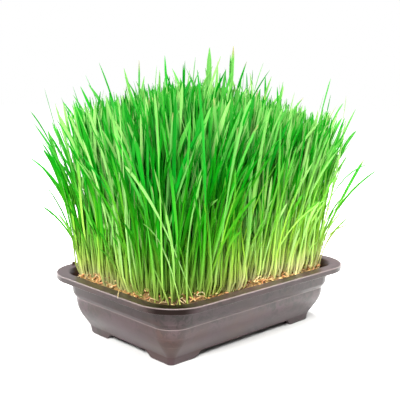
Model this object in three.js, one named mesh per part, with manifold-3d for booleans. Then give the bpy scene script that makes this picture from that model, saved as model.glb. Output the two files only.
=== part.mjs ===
// Wheatgrass tray: a shallow moulded plastic tray on four corner feet, filled with growing mix,
// and a dense stand of wheat seedlings that is knit together at its base by grain husks and roots.
//
// Millimetres, +Z up. X runs along the tray's long side and Y along its short side. The origin is
// the middle of the footprint, on the surface that the feet stand on.
//
// The stand is one matted turf. It is built as a grid of patches, each a square of matted grain and
// root with its own blades, as a turf comes apart when it is cut in portions.

import * as THREE from "three";
import { mergeVertices } from "three/addons/utils/BufferGeometryUtils.js";
import Module from "manifold-3d";

const wasm = await Module();
wasm.setup();

// Tray, all measured to its outer faces.
const TRAY_HALF_LENGTH = 127.5;
const TRAY_HALF_WIDTH = 90;
const TRAY_HEIGHT = 60.5;
const LIP_CORNER_RADIUS = 37.2;
const LIP_DEPTH = 5.5;
const LIP_WIDTH = 11;
const WALL_THICKNESS = 2.8;
const LIP_EDGE_BEVEL = 0.8;
const THROAT_INSET = 14;
const NECK_INSET = 13.2;
const NECK_DRAFT = 1.7;
const STEP_Z = 36.6;
const STEP_DEPTH = 4;
const STEP_INSET = 17.9;
const BELLY_SWELL_Z = 22.5;
const WAIST_INSET = 26.5;
const WAIST_Z = 16;
const WAIST_WALL_SHARE = 0.8;
const SKIRT_INSET = 31.2;
const SKIRT_Z = 7.5;
const FOOT_INSET = 32.8;
const FLOOR_TOP_Z = 9.3;

// Feet: what is left of the tray's skirt once an arch is cut through each side.
const ARCH_HEIGHT = 6.3;
const FOOT_LENGTH_ON_LONG_SIDE = 28;
const FOOT_LENGTH_ON_SHORT_SIDE = 25;
const FOOT_WALL = 6;
const DRAIN_RADIUS = 4;
const DRAIN_SIDES = 12;
const DRAIN_COLUMNS = 3;
const DRAIN_ROWS = 2;
const DRAIN_PITCH = 52;

// Growing mix and the mat of husks and roots on it.
const FIT_GAP = 0.3;
const MIX_TOP_Z = 50;
const MIX_CORE_RADIUS = 1;
const THROAT_Z = 52;
const MAT_TOP_Z = 57;
const MAT_INSET = 17;
const MAT_CORNER_RADIUS = 27;

// Stand of blades.
const PATCH_COLUMNS = 8;
const PATCH_ROWS = 6;
const BLADES_ACROSS_PATCH = 3;
const PATCH_GAP = 0.4;
const BLADE_WIDTH = 4;
const BLADE_THICKNESS = 1.5;
const BLADE_SIDES = 3;
const BLADE_STEPS = 3;
const BLADE_FULLNESS = 3;
const BLADE_LENGTH = 164;
const LONGEST_EXTRA = 54;
const EXTRA_RARITY = 3;
const BLADE_SETTING_DEPTH = 3;
const STRAY = 0.4;
const FLARE_X = 42;
const FLARE_Y = 39;
const FLARE_TOWARDS_TIP = 1.7;
const FLARE_TOWARDS_EDGE = 1.8;

// How finely curves are cut, and how far solids run through each other where they are joined.
const CORNER_STEPS = 6;
const BELLY_STEPS_OUTSIDE = 8;
const BELLY_STEPS_INSIDE = 6;
const CUT_MARGIN = 5;
const JOIN = 0.5;
const MERGE_DISTANCE = 1e-4;

// Settings of the scatter that gives blades their places, lengths and turns.
const SCATTER_STEP_A = 12.9898;
const SCATTER_STEP_B = 78.233;
const SCATTER_SPREAD = 43758.5453;
const LENGTH_SEED = { a: 3, b: 11 };
const TURN_SEED = { a: 19, b: 5 };

// ---- Solids ----

// The closed solid of a geometry, with shared corners merged so that only positions are left.
function solidOf(geometry) {
  const bare = new THREE.BufferGeometry();
  bare.setAttribute("position", geometry.getAttribute("position"));
  bare.setIndex(geometry.index);
  const merged = mergeVertices(bare, MERGE_DISTANCE);
  return new wasm.Manifold(
    new wasm.Mesh({
      numProp: 3,
      vertProperties: merged.attributes.position.array,
      triVerts: new Uint32Array(merged.index.array),
    }),
  );
}

function geometryOf(solid) {
  const mesh = solid.getMesh();
  const positions = new Float32Array(mesh.numVert * 3);
  for (let i = 0; i < mesh.numVert; i++) {
    const start = i * mesh.numProp;
    positions.set(mesh.vertProperties.subarray(start, start + 3), i * 3);
  }
  const geometry = new THREE.BufferGeometry();
  geometry.setAttribute("position", new THREE.BufferAttribute(positions, 3));
  geometry.setIndex(new THREE.BufferAttribute(mesh.triVerts, 1));
  geometry.computeVertexNormals();
  return geometry;
}

// A rounded rectangle centred on the origin.
function roundedRectangle(halfX, halfY, radius) {
  const shape = new THREE.Shape();
  shape.absarc(halfX - radius, halfY - radius, radius, 0, Math.PI / 2);
  shape.absarc(radius - halfX, halfY - radius, radius, Math.PI / 2, Math.PI);
  shape.absarc(radius - halfX, radius - halfY, radius, Math.PI, Math.PI * 1.5);
  shape.absarc(halfX - radius, radius - halfY, radius, Math.PI * 1.5, Math.PI * 2);
  return shape;
}

function extruded(shape, bottomZ, topZ) {
  const geometry = new THREE.ExtrudeGeometry(shape, {
    depth: topZ - bottomZ,
    bevelEnabled: false,
    curveSegments: CORNER_STEPS,
  });
  return geometry.translate(0, 0, bottomZ);
}

// A closed profile of (inset from the lip's outer edge, z) turned round the four corners of the
// tray: it is lathed once round, and each quarter is then moved out to its own corner.
function aroundTray(profile) {
  const columns = CORNER_STEPS * 4;
  const halfStep = Math.PI / columns;
  const flatten = Math.cos(halfStep);
  const points = profile.map(
    ([inset, z]) => new THREE.Vector2((LIP_CORNER_RADIUS - inset) / flatten, z),
  );
  points.push(points[0].clone());
  const lathe = new THREE.LatheGeometry(points, columns, halfStep);
  lathe.rotateX(Math.PI / 2);
  const position = lathe.getAttribute("position");
  for (let i = 0; i < position.count; i++) {
    const sideX = Math.sign(position.getX(i)) * (TRAY_HALF_LENGTH - LIP_CORNER_RADIUS);
    const sideY = Math.sign(position.getY(i)) * (TRAY_HALF_WIDTH - LIP_CORNER_RADIUS);
    position.setXYZ(i, position.getX(i) + sideX, position.getY(i) + sideY, position.getZ(i));
  }
  return lathe;
}

// ---- Tray ----

// The belly below the step bulges and then draws in to the crease at the top of the skirt.
function belly(thickness, steps) {
  const curve = new THREE.CubicBezierCurve(
    new THREE.Vector2(STEP_INSET + thickness, STEP_Z),
    new THREE.Vector2(STEP_INSET + thickness, BELLY_SWELL_Z),
    new THREE.Vector2(WAIST_INSET + thickness * WAIST_WALL_SHARE, WAIST_Z),
    new THREE.Vector2(SKIRT_INSET + thickness, SKIRT_Z),
  );
  return curve.getPoints(steps).map((point) => [point.x, point.y]);
}

// The tray's inner face from the lip down to the floor, moved inwards by gap.
function innerFace(gap) {
  return [
    [LIP_WIDTH + gap, TRAY_HEIGHT],
    [THROAT_INSET + gap, MAT_TOP_Z],
    [NECK_INSET + WALL_THICKNESS + gap, THROAT_Z],
    [NECK_INSET + NECK_DRAFT + WALL_THICKNESS + gap, STEP_Z + STEP_DEPTH],
    ...belly(WALL_THICKNESS + gap, BELLY_STEPS_INSIDE),
  ];
}

// How far in a face stands at a height, between the two of its points above and below it.
function insetAt(face, height) {
  const below = face.findIndex(([, z]) => z < height);
  const [upperInset, upperZ] = face[below - 1];
  const [lowerInset, lowerZ] = face[below];
  return upperInset + ((lowerInset - upperInset) * (upperZ - height)) / (upperZ - lowerZ);
}

function trayWall() {
  const outside = [
    [0, TRAY_HEIGHT - LIP_EDGE_BEVEL],
    [0, TRAY_HEIGHT - LIP_DEPTH],
    [NECK_INSET, TRAY_HEIGHT - LIP_DEPTH],
    [NECK_INSET + NECK_DRAFT, STEP_Z + STEP_DEPTH],
    ...belly(0, BELLY_STEPS_OUTSIDE),
    [FOOT_INSET, 0],
  ];
  const footInside = [FOOT_INSET + WALL_THICKNESS, 0];
  const inside = innerFace(0).reverse();
  const topEdge = [LIP_EDGE_BEVEL, TRAY_HEIGHT];
  return solidOf(aroundTray([...outside, footInside, ...inside, topEdge].reverse()));
}

// A prism that cuts the arch between two feet, right through the tray: its ends slope at 45 degrees.
function archCut(footGap, runLength) {
  const bottom = footGap / 2 + CUT_MARGIN;
  const top = footGap / 2 - ARCH_HEIGHT;
  const shape = new THREE.Shape();
  shape.moveTo(-bottom, -CUT_MARGIN);
  shape.lineTo(bottom, -CUT_MARGIN);
  shape.lineTo(top, ARCH_HEIGHT);
  shape.lineTo(-top, ARCH_HEIGHT);
  const prism = new THREE.ExtrudeGeometry(shape, { depth: runLength, bevelEnabled: false });
  return prism.translate(0, 0, -runLength / 2).rotateX(Math.PI / 2);
}

function tray() {
  const floorInset = SKIRT_INSET + WALL_THICKNESS / 2;
  const floorShape = roundedRectangle(
    TRAY_HALF_LENGTH - floorInset,
    TRAY_HALF_WIDTH - floorInset,
    LIP_CORNER_RADIUS - floorInset,
  );
  const floor = solidOf(extruded(floorShape, ARCH_HEIGHT, FLOOR_TOP_Z));

  const footHalfX = TRAY_HALF_LENGTH - FOOT_INSET;
  const footHalfY = TRAY_HALF_WIDTH - FOOT_INSET;
  const footRadius = LIP_CORNER_RADIUS - FOOT_INSET;

  const skirtShape = roundedRectangle(footHalfX - JOIN, footHalfY - JOIN, footRadius);
  skirtShape.holes.push(
    roundedRectangle(footHalfX - FOOT_WALL, footHalfY - FOOT_WALL, footRadius),
  );
  const skirt = solidOf(extruded(skirtShape, 0, ARCH_HEIGHT + JOIN));

  const longSideArch = archCut(2 * (footHalfX - FOOT_LENGTH_ON_LONG_SIDE), 4 * TRAY_HALF_WIDTH);
  const shortSideArch = archCut(2 * (footHalfY - FOOT_LENGTH_ON_SHORT_SIDE), 4 * TRAY_HALF_LENGTH);
  shortSideArch.rotateZ(Math.PI / 2);

  let body = trayWall().add(floor).add(skirt);
  body = body.subtract(solidOf(longSideArch)).subtract(solidOf(shortSideArch));
  for (let column = 0; column < DRAIN_COLUMNS; column++)
    for (let row = 0; row < DRAIN_ROWS; row++) {
      const drain = new THREE.CylinderGeometry(
        DRAIN_RADIUS,
        DRAIN_RADIUS,
        FLOOR_TOP_Z * 2,
        DRAIN_SIDES,
      );
      drain.rotateX(Math.PI / 2);
      drain.translate(
        (column - (DRAIN_COLUMNS - 1) / 2) * DRAIN_PITCH,
        (row - (DRAIN_ROWS - 1) / 2) * DRAIN_PITCH,
        FLOOR_TOP_Z,
      );
      body = body.subtract(solidOf(drain));
    }
  return body;
}

// ---- Growing mix ----

// The mix takes the tray's inner shape: a rim lathed round the four corners, with a core in it.
function growingMix() {
  const coreInset = LIP_CORNER_RADIUS - MIX_CORE_RADIUS;
  const bottomZ = FLOOR_TOP_Z + FIT_GAP;
  const face = innerFace(FIT_GAP);
  const side = face.filter(([, z]) => z < MIX_TOP_Z && z > bottomZ);
  const top = [insetAt(face, MIX_TOP_Z), MIX_TOP_Z];
  const bottom = [insetAt(face, bottomZ), bottomZ];
  const rim = [top, ...side, bottom, [coreInset, bottomZ], [coreInset, MIX_TOP_Z]];
  const coreShape = roundedRectangle(
    TRAY_HALF_LENGTH - coreInset + JOIN,
    TRAY_HALF_WIDTH - coreInset + JOIN,
    LIP_CORNER_RADIUS - coreInset + JOIN,
  );
  const core = extruded(coreShape, bottomZ, MIX_TOP_Z);
  return solidOf(aroundTray(rim.reverse())).add(solidOf(core));
}

// ---- Blades ----

const matHalfX = TRAY_HALF_LENGTH - MAT_INSET;
const matHalfY = TRAY_HALF_WIDTH - MAT_INSET;
const lastColumn = PATCH_COLUMNS * BLADES_ACROSS_PATCH - 1;
const lastRow = PATCH_ROWS * BLADES_ACROSS_PATCH - 1;

// A repeatable number from 0 to 1 for a pair of whole numbers.
function scatter(a, b) {
  const wave = Math.sin(a * SCATTER_STEP_A + b * SCATTER_STEP_B) * SCATTER_SPREAD;
  return wave - Math.floor(wave);
}

// How far a blade strays from its place in the grid, as a share of the grid's pitch. The outermost
// blades keep their place, so the stand reaches as far on one side as on the other.
function strayed(index, other, last) {
  return index === 0 || index === last ? 0 : STRAY * (scatter(index, other) - 0.5);
}

// Where a blade rooted at x, y has leant to, at a share of the stand's height. The lean grows
// smoothly from the middle of the stand to its edge, so neighbours fan out and never cross.
function flared(x, y, share) {
  const bend = Math.min(share, 1) ** FLARE_TOWARDS_TIP;
  const outX = Math.sign(x) * Math.abs(x / matHalfX) ** FLARE_TOWARDS_EDGE;
  const outY = Math.sign(y) * Math.abs(y / matHalfY) ** FLARE_TOWARDS_EDGE;
  return [x + FLARE_X * outX * bend, y + FLARE_Y * outY * bend];
}

// One blade: a flattened, tapering spike, turned about its own line and bent by the flare.
function blade(x, y, length, turn) {
  const cone = new THREE.ConeGeometry(1, 1, BLADE_SIDES, BLADE_STEPS);
  cone.rotateX(Math.PI / 2).translate(0, 0, 0.5);
  const position = cone.getAttribute("position");
  for (let i = 0; i < position.count; i++) {
    const share = position.getZ(i);
    const taper = share < 1 ? (1 - share ** BLADE_FULLNESS) / (1 - share) : 0;
    const across = (position.getX(i) * taper * BLADE_WIDTH) / 2;
    const through = (position.getY(i) * taper * BLADE_THICKNESS) / 2;
    const height = share * length;
    const [leanX, leanY] = flared(x, y, height / BLADE_LENGTH);
    position.setXYZ(
      i,
      leanX + across * Math.cos(turn) - through * Math.sin(turn),
      leanY + across * Math.sin(turn) + through * Math.cos(turn),
      MAT_TOP_Z - BLADE_SETTING_DEPTH + height,
    );
  }
  return solidOf(cone);
}

// One patch of turf: its square of the mat, and a grid of blades that are set a little into it.
function turfPatch(column, row) {
  const pitchX = (2 * matHalfX) / PATCH_COLUMNS;
  const pitchY = (2 * matHalfY) / PATCH_ROWS;
  const middleX = (column - (PATCH_COLUMNS - 1) / 2) * pitchX;
  const middleY = (row - (PATCH_ROWS - 1) / 2) * pitchY;

  const square = new THREE.BoxGeometry(
    pitchX - PATCH_GAP,
    pitchY - PATCH_GAP,
    MAT_TOP_Z - MIX_TOP_Z - FIT_GAP,
  );
  square.translate(middleX, middleY, (MAT_TOP_Z + MIX_TOP_Z + FIT_GAP) / 2);
  const matShape = roundedRectangle(matHalfX, matHalfY, MAT_CORNER_RADIUS);
  const mat = solidOf(extruded(matShape, MIX_TOP_Z, MAT_TOP_Z + JOIN));
  let patch = solidOf(square).intersect(mat);

  const middleBlade = (BLADES_ACROSS_PATCH - 1) / 2;
  const bladePitchX = pitchX / BLADES_ACROSS_PATCH;
  const bladePitchY = pitchY / BLADES_ACROSS_PATCH;
  for (let i = 0; i < BLADES_ACROSS_PATCH; i++)
    for (let j = 0; j < BLADES_ACROSS_PATCH; j++) {
      const a = column * BLADES_ACROSS_PATCH + i;
      const b = row * BLADES_ACROSS_PATCH + j;
      const x = middleX + bladePitchX * (i - middleBlade + strayed(a, b, lastColumn));
      const y = middleY + bladePitchY * (j - middleBlade + strayed(b, a, lastRow));
      const cornerX = Math.max(0, Math.abs(x) - (matHalfX - MAT_CORNER_RADIUS));
      const cornerY = Math.max(0, Math.abs(y) - (matHalfY - MAT_CORNER_RADIUS));
      if (Math.hypot(cornerX, cornerY) > MAT_CORNER_RADIUS - BLADE_WIDTH / 2) continue;
      const extra = scatter(a + LENGTH_SEED.a, b + LENGTH_SEED.b) ** EXTRA_RARITY;
      const length = BLADE_LENGTH + LONGEST_EXTRA * extra;
      const turn = Math.PI * scatter(a + TURN_SEED.a, b + TURN_SEED.b);
      patch = patch.add(blade(x, y, length, turn));
    }
  return patch;
}

// ---- Assembly ----

const trayPlastic = { color: 0x70625f, roughness: 0.42, metalness: 0 };
const moistMix = { color: 0x3a2a1d, roughness: 0.95, metalness: 0 };
const leafGreens = [0x4fa52c, 0x5fb136, 0x6fbd40, 0x469a2a];

const wheatgrassTray = new THREE.Group();

function place(name, solid, finish) {
  const mesh = new THREE.Mesh(geometryOf(solid), new THREE.MeshStandardMaterial(finish));
  mesh.name = name;
  wheatgrassTray.add(mesh);
}

place("tray", tray(), trayPlastic);
place("growing_mix", growingMix(), moistMix);
for (let column = 0; column < PATCH_COLUMNS; column++)
  for (let row = 0; row < PATCH_ROWS; row++) {
    const color = leafGreens[(column + 2 * row) % leafGreens.length];
    const finish = { color, roughness: 0.5, metalness: 0 };
    place(`grass_patch_${column + 1}_${row + 1}`, turfPatch(column, row), finish);
  }

export default wheatgrassTray;
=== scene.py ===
import math
import random

import bmesh
import bpy
from mathutils import Euler, Matrix, Vector, noise
from mathutils.geometry import interpolate_bezier


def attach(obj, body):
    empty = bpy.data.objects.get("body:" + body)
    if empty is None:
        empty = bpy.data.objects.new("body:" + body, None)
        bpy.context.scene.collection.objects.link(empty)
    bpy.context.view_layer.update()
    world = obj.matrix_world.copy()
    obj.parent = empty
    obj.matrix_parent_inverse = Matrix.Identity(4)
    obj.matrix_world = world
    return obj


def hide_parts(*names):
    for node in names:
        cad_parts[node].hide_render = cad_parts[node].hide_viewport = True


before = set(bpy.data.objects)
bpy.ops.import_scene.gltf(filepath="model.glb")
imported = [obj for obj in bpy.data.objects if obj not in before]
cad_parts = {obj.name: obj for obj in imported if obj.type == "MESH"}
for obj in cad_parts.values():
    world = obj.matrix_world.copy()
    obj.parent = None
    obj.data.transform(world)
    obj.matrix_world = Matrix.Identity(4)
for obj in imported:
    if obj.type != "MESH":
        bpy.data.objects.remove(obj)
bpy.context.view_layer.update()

MM = 0.001


# ---- Camera ----
# A short telephoto lens held just above the tray's lip, looking across the near corner so that a
# short side runs away to the left and a long side to the right.

AIM = Vector((-9.5, -1.9, 126.9)) * MM
DISTANCE = 673.8 * MM
TURN = math.radians(-44.68)
LIFT = math.radians(9.17)
ROLL = math.radians(1.15)
LENS_MM = 63.63
FILM_MM = 36

camera_data = bpy.data.cameras.new("camera")
camera_data.lens = LENS_MM
camera_data.sensor_width = FILM_MM
camera = bpy.data.objects.new("camera", camera_data)
bpy.context.scene.collection.objects.link(camera)
held = Euler((math.pi / 2 - LIFT, 0, TURN)).to_matrix() @ Matrix.Rotation(ROLL, 3, "Z")
backwards = held.col[2]
camera.matrix_world = Matrix.Translation(AIM + backwards * DISTANCE) @ held.to_4x4()
bpy.context.scene.camera = camera


# ---- Studio ----
# A matt white floor that runs out of sight under an even white sky. One soft box hangs overhead,
# one stands beside the camera, and weaker ones stand on the right and behind on the left, so that
# the object is bright all round over a soft shadow.

FLOOR_HALF = 6.0
FLOOR_WHITE = "d2d2d0"
FLOOR_GLOW = 0.8
GLOW_BEGINS, GLOW_IS_FULL = 0.14, 0.9
SKY, SKY_BEHIND_CAMERA = 0.95, 0.05
SHARP = math.radians(35)
# Each soft box's place, width and power, in metres and watts.
SOFT_BOXES = {
    "overhead": ((0.35, -0.15, 1.5), 0.5, 60),
    "by_camera": ((-1.4, -0.8, 1.25), 0.6, 84),
    "right": ((1.2, -0.9, 1.0), 0.5, 25),
    "behind": ((-0.3, 1.2, 1.0), 0.7, 30),
}


def linear(code):
    """A hex colour as shown on a screen, as the linear colour that a shader takes."""
    shares = [int(code[i:i + 2], 16) / 255 for i in (0, 2, 4)]
    return [s / 12.92 if s < 0.04045 else ((s + 0.055) / 1.055) ** 2.4 for s in shares] + [1]


def add_node(tree, kind, inputs=None, stops=None, **settings):
    """A shader node with its settings, its input values or links, and a colour ramp's stops.

    A node that is given as an input stands for the first of its outputs that is in use.
    """
    made = tree.nodes.new("ShaderNode" + kind)
    for name, value in settings.items():
        setattr(made, name, value)
    for name, value in (inputs or {}).items():
        if isinstance(value, bpy.types.Node):
            value = next(output for output in value.outputs if output.enabled)
        if isinstance(value, bpy.types.NodeSocket):
            tree.links.new(value, made.inputs[name])
        else:
            made.inputs[name].default_value = value
    for index, (at, code) in enumerate(stops or []):
        elements = made.color_ramp.elements
        stop = elements[index] if index < 2 else elements.new(at)
        stop.position = at
        stop.color = linear(code)
    return made


def new_material(name):
    """A material, its empty node tree, and in that the place on the object, in metres."""
    material = bpy.data.materials.new(name)
    material.use_nodes = True
    tree = material.node_tree
    tree.nodes.clear()
    return material, tree, add_node(tree, "TexCoord").outputs["Object"]


def make_piece(name, bm, *materials):
    """An object at the origin from a bmesh, shaded smooth except across its sharp edges."""
    for face in bm.faces:
        face.smooth = True
    for edge in bm.edges:
        edge.smooth = edge.calc_face_angle(0) < SHARP
    mesh = bpy.data.meshes.new(name)
    bm.to_mesh(mesh)
    bm.free()
    for material in materials:
        mesh.materials.append(material)
    piece = bpy.data.objects.new(name, mesh)
    bpy.context.scene.collection.objects.link(piece)
    return piece


# Away from the object the floor glows for the camera, so that it runs into the sky without a line.
floor_paint, tree, place = new_material("matt_white_floor")
away = add_node(tree, "VectorMath", {0: place}, operation="LENGTH")
glow = add_node(tree, "MapRange", {"Value": away, "From Min": GLOW_BEGINS,
                                   "From Max": GLOW_IS_FULL, "To Max": FLOOR_GLOW})
seen = add_node(tree, "LightPath").outputs["Is Camera Ray"]
glow = add_node(tree, "Math", {0: glow, 1: seen}, operation="MULTIPLY")
surface = add_node(tree, "BsdfPrincipled", {
    "Base Color": linear(FLOOR_WHITE), "Roughness": 0.9, "Specular IOR Level": 0.1,
    "Emission Color": (1, 1, 1, 1), "Emission Strength": glow,
})
add_node(tree, "OutputMaterial", {"Surface": surface})
bm = bmesh.new()
bmesh.ops.create_grid(bm, x_segments=1, y_segments=1, size=FLOOR_HALF)
floor = make_piece("floor", bm, floor_paint)

world = bpy.data.worlds.new("studio")
bpy.context.scene.world = world
world.use_nodes = True
tree = world.node_tree
tree.nodes.clear()
seen = add_node(tree, "LightPath").outputs["Is Camera Ray"]
facing = add_node(tree, "TexCoord").outputs["Generated"]
facing = add_node(tree, "VectorMath", {0: facing, 1: backwards}, operation="DOT_PRODUCT")
dim = add_node(tree, "MapRange", {"Value": facing, "From Min": -0.8, "From Max": 0.9,
                                  "To Min": SKY, "To Max": SKY_BEHIND_CAMERA})
shown = add_node(tree, "MapRange", {"Value": seen, "To Min": dim, "To Max": 1})
sky = add_node(tree, "Background", {"Color": (1, 1, 1, 1), "Strength": shown})
add_node(tree, "OutputWorld", {"Surface": sky})
bpy.context.scene.view_settings.view_transform = "Standard"

for name, (stands_at, width, power) in SOFT_BOXES.items():
    lamp = bpy.data.lights.new(name, "AREA")
    lamp.size = width
    lamp.energy = power
    soft_box = bpy.data.objects.new(name, lamp)
    soft_box.location = stands_at
    soft_box.rotation_euler = (Vector(stands_at) - AIM).to_track_quat("Z", "Y").to_euler()
    bpy.context.scene.collection.objects.link(soft_box)


# ---- Tray ----
# One injection-moulded tray in satin purple-brown plastic: a flat lip, a stepped neck, a belly that
# swells and draws in to the foot, and four L-shaped corner feet left between arches in the skirt.

HALF_LENGTH = 127.5
HALF_WIDTH = 90
TRAY_HEIGHT = 60.5
LIP_RADIUS = 37.2
LIP_WIDTH, LIP_UNDERSIDE = 11.5, 55
WALL = 2.8
NECK_INSET, NECK_DRAFT = 13.2, 1.7
STEP_INSET, STEP_Z, STEP_DEPTH = 17.9, 36.6, 4
BELLY_TOP, BELLY_SWELL_Z = 30, 22.5
WAIST_INSET, WAIST_Z, WAIST_WALL_SHARE = 26.5, 16, 0.8
SKIRT_INSET, SKIRT_Z = 31.2, 7.5
FOOT_INSET = 32.8
ARCH_HEIGHT = 6.3
FLOOR_TOP = 9.3
FOOT_WALL = 6
FOOT_LONG, FOOT_SHORT = 28, 25
DRAIN_RADIUS, DRAIN_PITCH = 4, 52
CORNER_STEPS = 18
OVERLAP = 0.5
CUT_BELOW = 9


def belly(inward, steps):
    """The S-curve of the belly, from the step to the skirt, as (inset, z) points."""
    curve = interpolate_bezier(
        (STEP_INSET + inward, STEP_Z, 0), (STEP_INSET + inward, BELLY_SWELL_Z, 0),
        (WAIST_INSET + inward * WAIST_WALL_SHARE, WAIST_Z, 0), (SKIRT_INSET + inward, SKIRT_Z, 0),
        steps,
    )
    return [(p.x, p.y) for p in curve]


def rounded(corners, steps=4):
    """Points along a line of corners (inset, z, radius), with each corner eased by a curve."""
    points = []
    for before, corner, after in zip(corners, corners[1:], corners[2:]):
        here = Vector(corner[:2])
        back = (Vector(before[:2]) - here).normalized() * corner[2]
        on = (Vector(after[:2]) - here).normalized() * corner[2]
        if not corner[2]:
            points.append(tuple(here))
            continue
        for i in range(steps + 1):
            t = i / steps
            points.append(tuple(here + back * (1 - t) ** 2 + on * t ** 2))
    return points


def round_tray(profile):
    """A closed profile of (inset, z) spun once round, with each quarter moved out to its corner."""
    bm = bmesh.new()
    half_step = math.pi / (4 * CORNER_STEPS)
    verts = []
    for inset, z in profile:
        radius = (LIP_RADIUS - inset) / math.cos(half_step)
        verts.append(bm.verts.new((radius * math.cos(half_step), radius * math.sin(half_step), z)))
    edges = [bm.edges.new(pair) for pair in zip(verts, verts[1:] + verts[:1])]
    bmesh.ops.spin(bm, geom=verts + edges, cent=(0, 0, 0), axis=(0, 0, 1), angle=math.tau,
                   steps=4 * CORNER_STEPS, use_merge=True)
    for vert in bm.verts:
        vert.co.x += math.copysign(HALF_LENGTH - LIP_RADIUS, vert.co.x)
        vert.co.y += math.copysign(HALF_WIDTH - LIP_RADIUS, vert.co.y)
    bmesh.ops.recalc_face_normals(bm, faces=bm.faces)
    return bm


def inside(x, y, half_x, half_y, radius):
    """How far a point lies inside a rectangle with rounded corners."""
    over_x, over_y = max(0, abs(x) - (half_x - radius)), max(0, abs(y) - (half_y - radius))
    return radius - math.hypot(over_x, over_y)


def only(kind, items):
    """The vertices or the edges among what an operator gave back."""
    return [item for item in items if isinstance(item, kind)]


def slab(half_x, half_y, radius, bottom, top):
    """A plate with rounded corners, in a bmesh of its own."""
    bm = bmesh.new()
    bmesh.ops.create_grid(bm, x_segments=1, y_segments=1, size=1)
    bmesh.ops.scale(bm, vec=(half_x, half_y, 1), verts=bm.verts)
    bmesh.ops.bevel(bm, geom=bm.verts[:], offset=radius, segments=8, profile=0.5,
                    affect="VERTICES", material=-1)
    bmesh.ops.translate(bm, vec=(0, 0, bottom), verts=bm.verts)
    raised = bmesh.ops.extrude_face_region(bm, geom=bm.faces[:])["geom"]
    moved = only(bmesh.types.BMVert, raised)
    bmesh.ops.translate(bm, vec=(0, 0, top - bottom), verts=moved)
    bmesh.ops.recalc_face_normals(bm, faces=bm.faces)
    return bm


def arch_cutter(gap, run, along_x):
    """A long prism with 45 degree flanks that cuts the arches in two opposite sides."""
    bm = bmesh.new()
    bmesh.ops.create_cube(bm, size=2)
    for vert in bm.verts:
        flank = gap / 2 - ARCH_HEIGHT if vert.co.z > 0 else gap / 2 + ARCH_HEIGHT
        height = ARCH_HEIGHT if vert.co.z > 0 else -ARCH_HEIGHT
        vert.co = (vert.co.x * flank, vert.co.y * run, height)
    if along_x:
        bmesh.ops.rotate(bm, matrix=Matrix.Rotation(math.pi / 2, 3, "Z"), verts=bm.verts)
    return bm


def to_metres(bm):
    bmesh.ops.scale(bm, vec=(MM, MM, MM), verts=bm.verts)


def joined(bm, solids):
    """The bmesh after each solid has been added or cut away, as a new bmesh in metres."""
    body = make_piece("body", bm)
    for operation, solid in solids:
        change = body.modifiers.new(operation, "BOOLEAN")
        change.operation = operation
        change.object = make_piece("tool", solid)
        change.solver = "EXACT"
    shaped = body.evaluated_get(bpy.context.evaluated_depsgraph_get()).to_mesh()
    result = bmesh.new()
    result.from_mesh(shaped)
    for used in [body] + [m.object for m in body.modifiers]:
        bpy.data.objects.remove(used)
    to_metres(result)
    return result


# Both walls as (inset, z, radius), from the middle of the lip's top down to the skirt or the foot.
lip_middle = (6, TRAY_HEIGHT, 0)
inner_wall = rounded([
    lip_middle, (LIP_WIDTH, TRAY_HEIGHT, 1.2), (14.2, 57, 1.5), (NECK_INSET + WALL, 50, 2),
    (NECK_INSET + NECK_DRAFT + WALL, STEP_Z + STEP_DEPTH, 1.5), (STEP_INSET + WALL, STEP_Z, 0),
    (21, BELLY_TOP, 0),
]) + belly(WALL, 14)
outer_wall = rounded([
    lip_middle, (1.1, TRAY_HEIGHT, 0), (0, TRAY_HEIGHT, 0.4), (0, TRAY_HEIGHT - 1.1, 0),
    (0, LIP_UNDERSIDE, 0.9), (NECK_INSET, LIP_UNDERSIDE, 1.0),
    (NECK_INSET + NECK_DRAFT, STEP_Z + STEP_DEPTH, 1.2), (STEP_INSET - 0.4, STEP_Z + 0.5, 0),
    (STEP_INSET, STEP_Z, 0.3), (STEP_INSET, STEP_Z - 0.6, 0), (STEP_INSET, BELLY_TOP, 0),
]) + belly(0, 18)[1:-1] + rounded([
    (WAIST_INSET, WAIST_Z, 0), (SKIRT_INSET, SKIRT_Z, 0.7), (FOOT_INSET, 0, 1.4),
    (FOOT_INSET + WALL, 0, 0),
])
wall = round_tray(outer_wall + [(FOOT_INSET + WALL, 0)] + inner_wall[::-1])

foot_x, foot_y = HALF_LENGTH - FOOT_INSET, HALF_WIDTH - FOOT_INSET
foot_radius = LIP_RADIUS - FOOT_INSET
solids = [
    ("UNION", slab(foot_x - OVERLAP, foot_y - OVERLAP, foot_radius, ARCH_HEIGHT, FLOOR_TOP)),
    ("UNION", slab(foot_x - OVERLAP, foot_y - OVERLAP, foot_radius, 0, ARCH_HEIGHT + OVERLAP)),
    ("DIFFERENCE", slab(foot_x - FOOT_WALL, foot_y - FOOT_WALL, foot_radius, -CUT_BELOW,
                        ARCH_HEIGHT)),
    ("DIFFERENCE", arch_cutter(2 * (foot_x - FOOT_LONG), 2 * HALF_WIDTH, False)),
    ("DIFFERENCE", arch_cutter(2 * (foot_y - FOOT_SHORT), 2 * HALF_LENGTH, True)),
]
for column in (-1, 0, 1):
    for row in (-0.5, 0.5):
        drain = bmesh.new()
        bmesh.ops.create_cone(drain, cap_ends=True, segments=24, radius1=DRAIN_RADIUS,
                              radius2=DRAIN_RADIUS, depth=4 * FLOOR_TOP)
        bmesh.ops.translate(drain, vec=(column * DRAIN_PITCH, row * DRAIN_PITCH, 0),
                            verts=drain.verts)
        solids.append(("DIFFERENCE", drain))

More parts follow.
